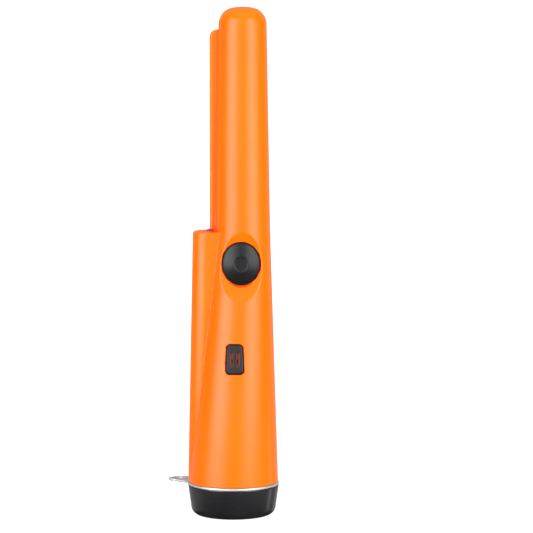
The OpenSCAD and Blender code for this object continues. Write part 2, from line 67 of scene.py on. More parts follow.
housing_low, housing_high = node_box("housing")
button_low, button_high = node_box("power_button")
grille_low, grille_high = node_box("speaker_grille")
lamp_low, lamp_high = node_box("lamp")
_, cap_high = node_box("battery_cap")
insert_low, insert_high = node_box("thread_insert")
ring_low, ring_high = node_box("lanyard_ring")
rod_low, rod_high = node_box("ferrite_rod")

TAIL_Z = housing_low[2]
TIP_Z = housing_high[2]
TAIL_R = housing_high[1]
BARREL_X = (rod_low[0] + rod_high[0]) / 2
LAMP_RISE = 1.1
SHOULDER_Z = lamp_high[2] - LAMP_RISE
SHOULDER_R = 12.3
TIP_R = 10.6
TIP_ROUND = 4.9
TIP_DOME = 0.75
HANDLE_WALL = 1.5
BARREL_WALL = 2.0

POD_R = 6.9
POD_TAIL_X = -13.55
POD_TOP_X = -11.2
POD_WALL = 2.1
BLADE_X = -10.5
BLADE_Z = 218.8
BLADE_T = 3.5
BLADE_CORNER = 3.5

BUTTON_X = (button_low[0] + button_high[0]) / 2
BUTTON_Z = (button_low[2] + button_high[2]) / 2
BUTTON_A = (button_high[0] - button_low[0]) / 2
BUTTON_B = (button_high[2] - button_low[2]) / 2
BUTTON_FACE = button_low[1]
POST_END = button_high[1]
POST_R = 2.2
WELL_Y = -7.7
LEDGE_Y = -10.3
LEDGE_DROP = 0.8
FLOOR_Y = -5.9
SCOOP_Y = -9.5
SCOOP_R = 33.0
SCOOP_Z = 115.6

GRILLE_X = (grille_low[0] + grille_high[0]) / 2
GRILLE_Z = 71.5
GRILLE_TOP = 3.65
GRILLE_BOTTOM = 4.2
GRILLE_HALF_H = 6.75
GRILLE_FLOOR = 14.6
GRILLE_PLATE = 1.55
GRILLE_CORNER = 2.0
SLOT_X = 1.43
SLOT_HALF_W = 0.5
SLOT_HALF_H = 3.4
SOUND_WALL = -12.6

LAMP_X = (lamp_low[0] + lamp_high[0]) / 2
LAMP_TOP = lamp_high[2]
LAMP_R = 2.5

INSERT_TOP = insert_high[2]
INSERT_Z = insert_low[2]
INSERT_R = insert_high[0] - 0.3
INSERT_ROOT = 17.65
INSERT_CREST = 17.05
NECK_R = 16.8
NECK_CREST = 17.4
NECK_TOP = cap_high[2]
CAP_H = 13.75
CAP_R = cap_high[0]
CAP_FOOT_R = 15.3
CAP_ROUND = 3.8
BAY_R = 16.1
BAY_FLOOR = 2.6
PITCH = 2.0
TURNS = 3.0
THREAD_Z = 17.5

RING_Z = ring_low[2]
RING_T = ring_high[2] - ring_low[2]
RING_IN = 17.65
RING_OUT = ring_high[0]
LUG_DIST = 26.4
LUG_R = 4.6
LUG_HOLE = 2.25
LUG_ANGLE = math.radians(20)

NOSE_Z = TIP_Z - 4

# Parts of the housing's inside: flats behind the grille and the button, the pod's room, the post's seats
FLAT_Z = 62.0
BUTTON_FLAT_LOW = 93.0
BUTTON_FLAT_HIGH = 135.0
POD_FLOOR_Z = 76.0
POST_HOLE_R = 2.3
SEAL_SEAT_R = 3.1
SOUND_HOLE_R = 1.3
FIT = 0.02
BUTTON_GAP = 0.2
GRILLE_GAP = 0.14
LAMP_GAP = 0.1

HANDLE_LEN = SHOULDER_Z - TAIL_Z
HANDLE_SLOPE = (TAIL_R - SHOULDER_R) / HANDLE_LEN
GRILLE_TILT = math.atan(HANDLE_SLOPE)


# ---------- rounded combinations of distance fields ----------


def join(a, b, r=0.0):
    """Union of two shapes, with a fillet of radius r."""
    return np.maximum(np.minimum(a, b), r) - np.hypot(np.maximum(r - a, 0), np.maximum(r - b, 0))


def meet(a, b, r=0.0):
    """Intersection of two shapes, with its edge rounded by r."""
    return np.minimum(np.maximum(a, b), -r) + np.hypot(np.maximum(r + a, 0), np.maximum(r + b, 0))


def cut(a, b, r=0.0):
    """Shape a without shape b, with its edge rounded by r."""
    return meet(a, -b, r)


def between(v, low, high):
    """The slab from low to high."""
    return np.maximum(low - v, v - high)


def ellipse(u, v, a, b):
    """Distance to an ellipse, close enough near its outline."""
    k = np.hypot(u / a, v / b) + 1e-9
    g = np.hypot(u / a**2, v / b**2) + 1e-9
    return k * (k - 1) / g


def handle_x(z):
    return BARREL_X * (z - TAIL_Z) / HANDLE_LEN


def handle_r(z):
    return TAIL_R - HANDLE_SLOPE * (z - TAIL_Z)


def barrel_r(z):
    return SHOULDER_R - (SHOULDER_R - TIP_R) * (z - SHOULDER_Z) / (TIP_Z - SHOULDER_Z)


def capsule(x, y, x0, x1, r):
    """Distance to a plate of thickness 2 r with round ends at x0 and x1."""
    return np.hypot(np.maximum(np.maximum(x0 - x, x - x1), 0), y) - r


# ---------- the housing ----------


def housing_outside(x, y, z):
    """The housing's outer shape: handle, barrel, blade and pod."""
    handle = np.hypot(x - handle_x(z), y) - handle_r(z)
    handle = meet(handle, z - SHOULDER_Z, 1.0)
    top = TIP_Z - 0.01 - TIP_DOME * ((x - BARREL_X) ** 2 + y**2) / (TIP_R - TIP_ROUND) ** 2
    barrel = np.hypot(x - BARREL_X, y) - barrel_r(z)
    barrel = meet(barrel, z - top, TIP_ROUND)
    barrel = np.maximum(barrel, SHOULDER_Z - 5 - z)
    edge = meet(BLADE_X - x, z - BLADE_Z, BLADE_CORNER)
    blade = meet(np.abs(y) - BLADE_T / 2, edge, 1.0)
    blade = np.maximum(blade, np.maximum(x - BARREL_X, SHOULDER_Z - 4 - z))
    t = (z - TAIL_Z) / HANDLE_LEN
    pod = capsule(x, y, POD_TAIL_X + (POD_TOP_X - POD_TAIL_X) * t, handle_x(z), POD_R)
    pod = meet(pod, z - SHOULDER_Z, 1.0)
    body = join(join(handle, pod, 0.15), join(barrel, blade, 0.12), 0.2)
    return meet(body, TAIL_Z - z, 0.3)


def grille_plane(x, y, z):
    """Place in the grille's plane: across, up the slope, and outwards."""
    c, s = math.cos(GRILLE_TILT), math.sin(GRILLE_TILT)
    across = x - GRILLE_X
    up = y * s + (z - GRILLE_Z) * c
    out = -(y * c - (z - GRILLE_Z) * s)
    return across, up, out


def grille_outline(across, up, grow):
    """Distance to the grille's outline, a tall trapezium with round corners."""
    mid = (GRILLE_TOP + GRILLE_BOTTOM) / 2
    slope = (GRILLE_BOTTOM - GRILLE_TOP) / (2 * GRILLE_HALF_H)
    side = np.abs(across) - (mid - slope * up + grow)
    return meet(side, np.abs(up) - GRILLE_HALF_H - grow, GRILLE_CORNER)


def housing_field(x, y, z):
    """The hollow housing, with the seats of everything that sits in its wall."""
    body = housing_outside(x, y, z)
    room = np.hypot(x - handle_x(z), y) - handle_r(z) + HANDLE_WALL
    room = np.maximum(room, between(z, INSERT_TOP - 0.1, SHOULDER_Z - 0.4))
    room = np.maximum(room, np.minimum(SOUND_WALL - y, z - FLAT_Z))
    room = np.maximum(room, np.minimum(FLOOR_Y - y, z - BUTTON_FLAT_LOW))
    bore = np.hypot(x - BARREL_X, y) - barrel_r(z) + BARREL_WALL
    bore = np.maximum(bore, between(z, SHOULDER_Z - 3, NOSE_Z))
    bore = np.maximum(bore, np.minimum(FLOOR_Y - y, BUTTON_FLAT_HIGH - z))
    t = (z - POD_FLOOR_Z) / (SHOULDER_Z - 2 - POD_FLOOR_Z)
    pod_room = capsule(x, y, -11.6 + 0.4 * t, BARREL_X * t, POD_R - POD_WALL)
    pod_room = np.maximum(pod_room, between(z, POD_FLOOR_Z, SHOULDER_Z - 2))
    seat = np.maximum(np.hypot(x, y) - INSERT_R - FIT, z - INSERT_TOP)
    inside = np.minimum(np.minimum(room, bore), np.minimum(pod_room, seat))
    body = np.maximum(body, -inside)

    scoop = np.hypot(y - SCOOP_Y + SCOOP_R, z - SCOOP_Z) - SCOOP_R
    body = cut(body, scoop, 0.25)
    well_a = BUTTON_A + BUTTON_GAP
    well_b = BUTTON_B + BUTTON_GAP
    well = meet(ellipse(x - BUTTON_X, z - BUTTON_Z, well_a, well_b), y - WELL_Y, 0.3)
    ledge_b = well_b + np.where(z < BUTTON_Z, LEDGE_DROP, 0)
    ledge = np.maximum(ellipse(x - BUTTON_X, z - BUTTON_Z, well_a, ledge_b), y - LEDGE_Y)
    well = np.minimum(well, ledge)
    body = cut(body, well, 0.2)
    radius = np.hypot(x - BUTTON_X, z - BUTTON_Z)
    post_hole = np.maximum(radius - POST_HOLE_R, between(y, -9.0, -4.0))
    seal_seat = np.maximum(radius - SEAL_SEAT_R, between(y, -9.0, FLOOR_Y - 0.35))
    body = np.maximum(body, -np.minimum(post_hole, seal_seat))

    across, up, out = grille_plane(x, y, z)
    pocket = meet(grille_outline(across, up, GRILLE_GAP), GRILLE_FLOOR - out, 0.2)
    body = cut(body, np.maximum(pocket, out - 22), 0.3)
    sound = np.hypot(x - GRILLE_X, z - GRILLE_Z) - SOUND_HOLE_R
    body = np.maximum(body, -np.maximum(sound, between(y, -17.0, -11.0)))

    dome_z = LAMP_TOP - LAMP_R
    hole_r = LAMP_R + LAMP_GAP
    shaft = np.hypot(x - LAMP_X, y) - hole_r
    shaft = np.maximum(shaft, between(z, SHOULDER_Z - 4, dome_z))
    dome = np.sqrt((x - LAMP_X) ** 2 + y**2 + (z - dome_z) ** 2) - hole_r
    return cut(body, np.minimum(shaft, dome), 0.15)


# ---------- meshes ----------


def spaced(bands):
    """Grid lines through bands of [start, end, step], evenly spaced within each band."""
    lines = []
    for start, end, step in bands:
        lines.extend(np.linspace(start, end, max(2, int(round((end - start) / step)) + 1))[:-1])
    lines.append(bands[-1][1])
    return np.array(lines)


def gradient(field, p, h=0.02):
    """Slope of the field at the points p."""
    out = np.empty_like(p)
    for axis in range(3):
        step = np.zeros(3)
        step[axis] = h
        ahead = field(*(p + step).T)
        behind = field(*(p - step).T)
        out[:, axis] = (ahead - behind) / (2 * h)
    return out


def surface_net(field, xs, ys, zs, reach=0.3):
    """Mesh of the surface where the field is zero: points, quads and normals."""
    grid = np.meshgrid(xs, ys, zs, indexing="ij")
    values = field(*grid)
    below = values < 0
    nx, ny, nz = values.shape

    count = np.zeros((nx - 1, ny - 1, nz - 1), np.int8)
    corners = [(i, j, k) for i in (0, 1) for j in (0, 1) for k in (0, 1)]
    for i, j, k in corners:
        count += below[i : nx - 1 + i, j : ny - 1 + j, k : nz - 1 + k]
    cells = np.argwhere((count > 0) & (count < 8))
    index = np.full(count.shape, -1, np.int64)
    index[tuple(cells.T)] = np.arange(len(cells))

    lines = (xs, ys, zs)
    total = np.zeros((len(cells), 3))
    hits = np.zeros(len(cells))
    for a in corners:
        for axis in range(3):
            if a[axis] == 1:
                continue
            b = list(a)
            b[axis] = 1
            start = cells + np.array(a)
            end = cells + np.array(b)
            va = values[tuple(start.T)]
            vb = values[tuple(end.T)]
            crossed = (va < 0) != (vb < 0)
            t = np.where(crossed, va / np.where(crossed, va - vb, 1), 0)
            for n in range(3):
                p0 = lines[n][start[:, n]]
                p1 = lines[n][end[:, n]]
                total[:, n] += np.where(crossed, p0 + (p1 - p0) * t, 0)
            hits += crossed
    points = total / hits[:, None]

    quads = []
    for axis in range(3):
        u, v = (axis + 1) % 3, (axis + 2) % 3
        low = [slice(None)] * 3
        high = [slice(None)] * 3
        low[axis] = slice(0, -1)
        high[axis] = slice(1, None)
        first = below[tuple(low)]
        second = below[tuple(high)]
        edges = np.argwhere(first != second)
        size = np.array(count.shape)
        fits = (edges[:, u] > 0) & (edges[:, v] > 0) & (edges[:, u] < size[u]) & (edges[:, v] < size[v])
        edges = edges[fits]
        outward = first[tuple(edges.T)]
        ring = []
        for du, dv in ((-1, -1), (0, -1), (0, 0), (-1, 0)):
            cell = edges.copy()
            cell[:, u] += du
            cell[:, v] += dv
            ring.append(index[tuple(cell.T)])
        ring = np.stack(ring, axis=1)
        quads.append(np.where(outward[:, None], ring, ring[:, ::-1]))
    quads = np.concatenate(quads)

    for _ in range(3):
        slope = gradient(field, points)
        size2 = (slope**2).sum(1) + 1e-9
        move = -slope * (field(*points.T) / size2)[:, None]
        length = np.linalg.norm(move, axis=1) + 1e-9
        points += move * np.minimum(1, reach / length)[:, None]
    normals = gradient(field, points, 0.05)
    normals /= np.linalg.norm(normals, axis=1)[:, None] + 1e-9
    return points, quads, normals


def add_object(name, mesh, body, slot, *replaced):
    piece = bpy.data.objects.new(name, mesh)
    bpy.context.scene.collection.objects.link(piece)
    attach(piece, body)
    if replaced:
        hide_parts(*replaced)
    return piece


def quad_mesh(name, points, quads, normals=None):
    """A smooth mesh of quads, from points in millimetres."""
    mesh = bpy.data.meshes.new(name)
    mesh.vertices.add(len(points))
    mesh.vertices.foreach_set("co", (points * MM).astype(np.float32).ravel())
    mesh.loops.add(quads.size)
    mesh.loops.foreach_set("vertex_index", quads.astype(np.int32).ravel())
    mesh.polygons.add(len(quads))
    mesh.polygons.foreach_set("loop_start", np.arange(0, quads.size, 4, dtype=np.int32))
    mesh.update(calc_edges=True)
    mesh.validate()
    mesh.shade_smooth()
    if normals is not None and len(mesh.vertices) == len(normals):
        mesh.normals_split_custom_set_from_vertices(normals.tolist())
    return mesh


def mesh_from_rings(name, rings, close_ends=True, sharp=35):
    """A mesh through rings of points in millimetres; each end closes in a fan to its middle."""
    rings = np.array(rings, float)
    m, n, _ = rings.shape
    verts = list(rings.reshape(-1, 3))
    faces = []
    for i in range(m - 1):
        for j in range(n):
            k = (j + 1) % n
            faces.append((i * n + j, i * n + k, (i + 1) * n + k, (i + 1) * n + j))
    if close_ends:
        for row, turn in ((0, True), (m - 1, False)):
            centre = len(verts)
            verts.append(rings[row].mean(0))
            for j in range(n):
                a, b = row * n + j, row * n + (j + 1) % n
                faces.append((centre, b, a) if turn else (centre, a, b))
    else:
        for j in range(n):
            k = (j + 1) % n
            faces.append(((m - 1) * n + j, (m - 1) * n + k, k, j))
    mesh = bpy.data.meshes.new(name)
    mesh.from_pydata([tuple(v * MM) for v in verts], [], faces)
    mesh.validate()
    mesh.update()
    mesh.shade_smooth()
    mesh.set_sharp_from_angle(angle=math.radians(sharp))
    return mesh


def turned(name, profile, n=128, centre=(0, 0), close_ends=True, bulge=None, sharp=35):
    """Turns a profile of [radius, height] points about a vertical axis. bulge moves points out at an angle."""
    angles = np.arange(n) * TAU / n
    rings = []
    for r, z in profile:
        radius = np.full(n, float(r))
        if bulge is not None:
            radius = radius + bulge(angles, r, z)
        ring = [centre[0] + radius * np.cos(angles), centre[1] + radius * np.sin(angles), np.full(n, z)]
        rings.append(np.stack(ring, axis=1))
    return mesh_from_rings(name, rings, close_ends, sharp)


def arc(cx, cz, r, start, end, steps):
    """Points on an arc, with its angles in degrees."""
    out = []
    for i in range(steps + 1):
        a = math.radians(start + (end - start) * i / steps)
        out.append((cx + r * math.cos(a), cz + r * math.sin(a)))
    return out


def rows(r, z0, z1, step):
    """Points up a straight wall, without its first one."""
    n = max(1, int(round(abs(z1 - z0) / step)))
    return [(r, z0 + (z1 - z0) * i / n) for i in range(1, n + 1)]


# ---------- materials ----------


def material(name, colour, rough, metal=0.0, coat=0.0, specular=0.5, ior=1.5, transmission=0.0):
    """A new material with its shader node; colours are linear."""
    mat = bpy.data.materials.new(name)
    mat.use_nodes = True
    shader = mat.node_tree.nodes["Principled BSDF"]
    shader.inputs["Base Color"].default_value = (*colour, 1)
    shader.inputs["Roughness"].default_value = rough
    shader.inputs["Metallic"].default_value = metal
    shader.inputs["Coat Weight"].default_value = coat
    shader.inputs["Coat Roughness"].default_value = 0.12
    shader.inputs["Specular IOR Level"].default_value = specular
    shader.inputs["IOR"].default_value = ior
    shader.inputs["Transmission Weight"].default_value = transmission
    return mat


def noise(mat, size_mm, detail=3.0, stretch=(1, 1, 1), rough=0.5):
    """Noise in the part's own coordinates, with features of about size_mm."""
    tree = mat.node_tree
    coords = tree.nodes.new("ShaderNodeTexCoord")
    mapping = tree.nodes.new("ShaderNodeMapping")
    mapping.inputs["Scale"].default_value = stretch
    texture = tree.nodes.new("ShaderNodeTexNoise")
    texture.inputs["Scale"].default_value = 1 / (size_mm * MM)
    texture.inputs["Detail"].default_value = detail
    texture.inputs["Roughness"].default_value = rough
    tree.links.new(coords.outputs["Object"], mapping.inputs["Vector"])
    tree.links.new(mapping.outputs["Vector"], texture.inputs["Vector"])
    return texture.outputs["Fac"]


def ranged(mat, value, low, high, from_low=0.3, from_high=0.7):
    """The value mapped to a range."""
    node = mat.node_tree.nodes.new("ShaderNodeMapRange")
    node.inputs["From Min"].default_value = from_low
    node.inputs["From Max"].default_value = from_high
    node.inputs["To Min"].default_value = low
    node.inputs["To Max"].default_value = high
    mat.node_tree.links.new(value, node.inputs["Value"])
    return node.outputs["Result"]


def mixed(mat, factor, a, b):
    """Colour a where the factor is 0 and b where it is 1; each is a colour or an output."""
    node = mat.node_tree.nodes.new("ShaderNodeMix")
    node.data_type = "RGBA"
    mat.node_tree.links.new(factor, node.inputs["Factor"])
    for socket, value in (("A", a), ("B", b)):
        target = [i for i in node.inputs if i.name == socket and i.type == "RGBA"][0]
        if isinstance(value, tuple):
            target.default_value = (*value, 1)
        else:
            mat.node_tree.links.new(value, target)
    return [o for o in node.outputs if o.type == "RGBA"][0]


def connect(mat, output, socket):
    mat.node_tree.links.new(output, mat.node_tree.nodes["Principled BSDF"].inputs[socket])


def bump(mat, height, depth_mm, strength=1.0, below=None):
    """Adds a bump of the given depth, on top of another bump if there is one."""
    node = mat.node_tree.nodes.new("ShaderNodeBump")
    node.inputs["Distance"].default_value = depth_mm * MM
    node.inputs["Strength"].default_value = strength
    mat.node_tree.links.new(height, node.inputs["Height"])
    if below is not None:
        mat.node_tree.links.new(below, node.inputs["Normal"])
    connect(mat, node.outputs["Normal"], "Normal")
    return node.outputs["Normal"]


def moulded(name, colour, dark, rough, grain_mm=0.35, grain_depth=0.012, specular=0.5, coat=0.0):
    """Moulded plastic or rubber: broad flow marks, a fine grain and smudges."""
    mat = material(name, colour, rough, coat=coat, specular=specular)
    flow = noise(mat, 18.0, 2.0, (1, 1, 0.35))
    connect(mat, mixed(mat, ranged(mat, flow, 0, 1), dark, colour), "Base Color")
    smudge = noise(mat, 7.0, 4.0)
    connect(mat, ranged(mat, smudge, rough - 0.03, rough + 0.04), "Roughness")
    grain = noise(mat, grain_mm, 2.0)
    bump(mat, grain, grain_depth)
    return mat


def metal(name, colour, rough, grain=(1, 1, 1), grain_mm=0.5, depth=0.004, share=1.0):
    """Bare or plated metal with brushing along its long grain, and duller patches."""
    mat = material(name, colour, rough, metal=share)
    patch = noise(mat, 3.0, 4.0)
    dull = tuple(0.82 * c for c in colour)
    connect(mat, mixed(mat, ranged(mat, patch, 0, 1), dull, colour), "Base Color")
    connect(mat, ranged(mat, patch, rough + 0.07, rough - 0.05), "Roughness")
    brushing = noise(mat, grain_mm, 3.0, grain)
    bump(mat, brushing, depth)
    return mat


def wound(name, colour, groove_shade, wire_mm):
    """A coil of lacquered wire, with a groove between neighbouring turns that is painted darker as shade."""
    mat = material(name, colour, 0.35, coat=0.4)
    tree = mat.node_tree
    coords = tree.nodes.new("ShaderNodeTexCoord")
    wave = tree.nodes.new("ShaderNodeTexWave")
    wave.wave_type = "BANDS"
    wave.bands_direction = "Z"
    wave.inputs["Scale"].default_value = TAU / (20 * wire_mm * MM)
    wave.inputs["Distortion"].default_value = 0.3
    tree.links.new(coords.outputs["Object"], wave.inputs["Vector"])
    fleck = noise(mat, 1.2, 3.0)
    shade = mixed(mat, ranged(mat, fleck, 0, 1), colour, tuple(0.75 * c for c in colour))
    # Painted shade: the grooves between turns take the darker groove colour
    groove = ranged(mat, wave.outputs["Fac"], 1, 0, 0.0, 0.4)
    connect(mat, mixed(mat, groove, shade, groove_shade), "Base Color")
    bump(mat, wave.outputs["Fac"], wire_mm / 3)
    return mat


ORANGE = (0.98, 0.150, 0.001)
ORANGE_DEEP = (0.95, 0.140, 0.001)
# Deep red of the painted shade in the orange shell's corners and gaps, and how far that shade reaches
PAINTED_SHADE_RED = (0.56, 0.006, 0.0)
PAINTED_SHADE_REACH = 3.5

materials = {
    "black_plastic": moulded("black_plastic", (0.013, 0.013, 0.014), (0.009, 0.009, 0.010), 0.17, 0.4, 0.003),
    "button_plastic": moulded(
        "button_plastic", (0.011, 0.011, 0.012), (0.008, 0.008, 0.009), 0.32, 0.4, 0.005, specular=0.18
    ),
    "black_rubber": moulded("black_rubber", (0.018, 0.018, 0.018), (0.012, 0.012, 0.012), 0.62),
    "ivory_plastic": moulded("ivory_plastic", (0.72, 0.66, 0.50), (0.64, 0.58, 0.43), 0.45),
    "steel": metal("steel", (0.66, 0.66, 0.66), 0.36, depth=0.001, share=0.65),
    "tinned_metal": metal("tinned_metal", (0.72, 0.71, 0.68), 0.32),
    "can_aluminium": metal("can_aluminium", (0.80, 0.80, 0.81), 0.30, (1, 1, 0.15)),
    "heavy_metal": metal("heavy_metal", (0.36, 0.35, 0.34), 0.42),
    "membrane": moulded("membrane", (0.022, 0.022, 0.022), (0.016, 0.016, 0.016), 0.7),
    "chip_black": moulded("chip_black", (0.02, 0.02, 0.021), (0.014, 0.014, 0.015), 0.5),
    "blue_wire": moulded("blue_wire", (0.02, 0.07, 0.42), (0.015, 0.05, 0.33), 0.4),
    "red_wire": moulded("red_wire", (0.55, 0.015, 0.01), (0.45, 0.01, 0.008), 0.4),
    "black_wire": moulded("black_wire", (0.015, 0.015, 0.015), (0.01, 0.01, 0.01), 0.42),
    "ferrite": moulded("ferrite", (0.055, 0.055, 0.06), (0.035, 0.035, 0.04), 0.55, 0.25, 0.03),
    "copper_wire": wound("copper_wire", (0.62, 0.22, 0.07), (0.16, 0.05, 0.02), 0.35),
}


def shell_material():
    """Satin orange plastic, with painted shade: a deeper red in its corners and gaps."""
    mat = moulded("orange_shell", ORANGE, ORANGE_DEEP, 0.1, 0.4, 0.002, specular=0.2)
    tree = mat.node_tree
    shader = tree.nodes["Principled BSDF"]
    open_colour = shader.inputs["Base Color"].links[0].from_socket
    # Painted shade: an occlusion node turns the orange a deeper red where corners, creases and gaps hide it
    shade_occlusion = tree.nodes.new("ShaderNodeAmbientOcclusion")
    shade_occlusion.inputs["Distance"].default_value = PAINTED_SHADE_REACH * MM
    shade_occlusion.samples = 8
    depth = ranged(mat, shade_occlusion.outputs["AO"], 0, 1, 0.2, 0.88)
    connect(mat, mixed(mat, depth, PAINTED_SHADE_RED, open_colour), "Base Color")
    return mat


def foam_material():
    """Open-cell foam: soft grey, with painted shade making the middles of its fine cells dark."""
    mat = material("grey_foam", (0.16, 0.16, 0.17), 0.92, specular=0.2)
    tree = mat.node_tree
    coords = tree.nodes.new("ShaderNodeTexCoord")
    cells = tree.nodes.new("ShaderNodeTexVoronoi")
    cells.inputs["Scale"].default_value = 1 / (0.45 * MM)
    tree.links.new(coords.outputs["Object"], cells.inputs["Vector"])
    # Painted shade: the middle of each cell is darkened as if in the shade of a pore
    pore_shade = ranged(mat, cells.outputs["Distance"], 1, 0, 0.1, 0.5)
    connect(mat, mixed(mat, pore_shade, (0.17, 0.17, 0.18), (0.05, 0.05, 0.055)), "Base Color")
    bump(mat, cells.outputs["Distance"], 0.25)
    return mat


def board_material():
    """Green solder mask over copper tracks, with a faint weave."""
    mat = material("green_board", (0.012, 0.12, 0.035), 0.35, coat=0.3)
    tree = mat.node_tree
    coords = tree.nodes.new("ShaderNodeTexCoord")
    bricks = tree.nodes.new("ShaderNodeTexBrick")
    bricks.inputs["Scale"].default_value = 1 / (5.0 * MM)
    bricks.inputs["Mortar Size"].default_value = 0.02
    bricks.inputs["Color1"].default_value = (0, 0, 0, 1)
    bricks.inputs["Color2"].default_value = (0, 0, 0, 1)
    bricks.inputs["Mortar"].default_value = (1, 1, 1, 1)
    turn = tree.nodes.new("ShaderNodeMapping")
    turn.inputs["Rotation"].default_value = (math.radians(90), 0, 0)
    tree.links.new(coords.outputs["Object"], turn.inputs["Vector"])
    tree.links.new(turn.outputs["Vector"], bricks.inputs["Vector"])
    shade = mixed(mat, bricks.outputs["Color"], (0.012, 0.12, 0.035), (0.04, 0.24, 0.08))
    connect(mat, shade, "Base Color")
    weave = noise(mat, 0.6, 2.0)
    lift = bump(mat, bricks.outputs["Color"], 0.03)
    bump(mat, weave, 0.01, below=lift)
    return mat


def battery_material():
    """Printed battery jacket: a dark block with a copper-coloured band at its terminals."""
    mat = material("battery_jacket", (0.02, 0.02, 0.022), 0.3, coat=0.5)
    tree = mat.node_tree
    coords = tree.nodes.new("ShaderNodeTexCoord")
    split = tree.nodes.new("ShaderNodeSeparateXYZ")
    tree.links.new(coords.outputs["Object"], split.inputs["Vector"])
    band = ranged(mat, split.outputs["Z"], 0, 1, 36.0 * MM, 36.2 * MM)
    scuff = noise(mat, 2.0, 5.0, (1, 1, 0.3))
    copper = mixed(mat, ranged(mat, scuff, 0, 1), (0.58, 0.27, 0.09), (0.50, 0.22, 0.07))
    black = mixed(mat, ranged(mat, scuff, 0, 1), (0.018, 0.018, 0.02), (0.03, 0.03, 0.033))
    connect(mat, mixed(mat, band, black, copper), "Base Color")
    connect(mat, ranged(mat, scuff, 0.22, 0.4), "Roughness")
    bump(mat, scuff, 0.02)
    return mat


def lens_material():
    """Moulded lens of the lamp, tinted pink."""
    mat = material("lamp_lens", (0.62, 0.05, 0.06), 0.08, transmission=0.2, ior=1.5)
    ripple = noise(mat, 1.4, 1.0)
    connect(mat, mixed(mat, ranged(mat, ripple, 0, 1), (0.54, 0.04, 0.05), (0.68, 0.07, 0.08)), "Base Color")
    connect(mat, ranged(mat, ripple, 0.04, 0.10), "Roughness")
    bump(mat, ripple, 0.01)
    return mat


materials["orange_shell"] = shell_material()
materials["grey_foam"] = foam_material()
materials["green_board"] = board_material()
materials["battery_jacket"] = battery_material()
materials["lamp_lens"] = lens_material()


# ---------- the CAD nodes that are shown as they are ----------

slot_of = {entry["node"]: entry["material_slot"] for entry in frame["record"]["subparts"]}


def dress(obj, slot_name):
    obj.data.materials.clear()
    obj.data.materials.append(materials[slot_name])


def soften(obj, width_mm, segments=2):
    """Rounds the edges of a CAD node a little."""
    edge = obj.modifiers.new("soft_edges", "BEVEL")
    edge.width = width_mm * MM
    edge.segments = segments
    edge.limit_method = "ANGLE"
    edge.angle_limit = math.radians(40)
    edge.harden_normals = True


for node_name, node in frame["nodes"].items():
    dress(node, slot_of[node_name])
    node.data.shade_smooth()
    node.data.set_sharp_from_angle(angle=math.radians(32))


# ---------- pieces shown with a finer shape than the CAD one ----------

housing_points, housing_quads, housing_normals = surface_net(
    housing_field,
    spaced([[-21.3, 21.3, 0.5]]),
    spaced([[-21.3, 21.3, 0.5]]),
    spaced([
        [13.6, 18, 0.3], [18, 62, 1.1], [62, 82, 0.4], [82, 93, 1.0], [93, 133, 0.45],
        [133, 213, 1.2], [213, 230.5, 0.45],
    ]),
)
housing = add_object(
    "housing_shell",
    quad_mesh("housing_shell", housing_points, housing_quads, housing_normals),
    "root", "orange_shell", "housing",
)
dress(housing, "orange_shell")


def ring_field(x, y, z):
    """The steel ring with its tapered lug, in its own turned coordinates."""
    a = math.pi - LUG_ANGLE
    u = x * math.cos(a) + y * math.sin(a)
    v = -x * math.sin(a) + y * math.cos(a)
    disc = np.hypot(u, v) - RING_OUT
    half = 8.0 + (LUG_R - 8.0) * (u - 17.0) / (LUG_DIST - 17.0)
    lug = np.maximum(np.abs(v) - half, between(u, 17.0, LUG_DIST))
    lug = np.minimum(lug, np.hypot(u - LUG_DIST, v) - LUG_R)
    outline = join(disc, lug, 1.5)
    outline = np.maximum(outline, RING_IN - np.hypot(u, v))
    outline = np.maximum(outline, LUG_HOLE - np.hypot(u - LUG_DIST, v))
    return meet(outline, np.abs(z - RING_Z - RING_T / 2) - RING_T / 2, 0.22)


ring_points, ring_quads, ring_normals = surface_net(
    ring_field,
    spaced([[ring_low[0] - 1, ring_high[0] + 1, 0.33]]),
    spaced([[ring_low[1] - 1, ring_high[1] + 1, 0.33]]),
    spaced([[RING_Z - 0.4, RING_Z + RING_T + 0.4, 0.2]]),
    reach=0.2,
)
lanyard_ring = add_object(
    "ring_with_lug",
    quad_mesh("ring_with_lug", ring_points, ring_quads, ring_normals),
    "ring", "steel", "lanyard_ring",
)
dress(lanyard_ring, "steel")


def grille_field(across, up, out):
    """The grille's plate with its bevelled edge and two slots, in its own plane."""
    outline = grille_outline(across, up, 0.0)
    crown = GRILLE_FLOOR + GRILLE_PLATE - 0.12 * (across / GRILLE_TOP) ** 2
    bevel = (outline + (out - crown)) / math.sqrt(2) + 0.42
    plate = np.maximum(meet(outline, out - crown, 0.15), bevel)
    plate = np.maximum(plate, GRILLE_FLOOR + 0.05 - out)
    reach = SLOT_HALF_H - SLOT_HALF_W
    slot = capsule(up, np.abs(across) - SLOT_X, -reach, reach, SLOT_HALF_W)
    return cut(plate, slot, 0.15)


def on_grille(points):
    """From the grille's own plane to the part's frame."""
    c, s = math.cos(GRILLE_TILT), math.sin(GRILLE_TILT)
    across, up, out = points.T
    return np.stack([across, up * s - out * c, up * c + out * s], axis=1)


grille_points, grille_quads, grille_normals = surface_net(
    grille_field,
    spaced([[-4.6, 4.6, 0.14]]),
    spaced([[-7.6, 7.6, 0.14]]),
    spaced([[GRILLE_FLOOR - 0.2, GRILLE_FLOOR + GRILLE_PLATE + 0.3, 0.14]]),
    reach=0.1,
)
grille_points = on_grille(grille_points) + np.array([GRILLE_X, 0, GRILLE_Z])
grille = add_object(
    "grille_plate",
    quad_mesh("grille_plate", grille_points, grille_quads, on_grille(grille_normals)),
    "root", "black_plastic", "speaker_grille",
)
dress(grille, "black_plastic")


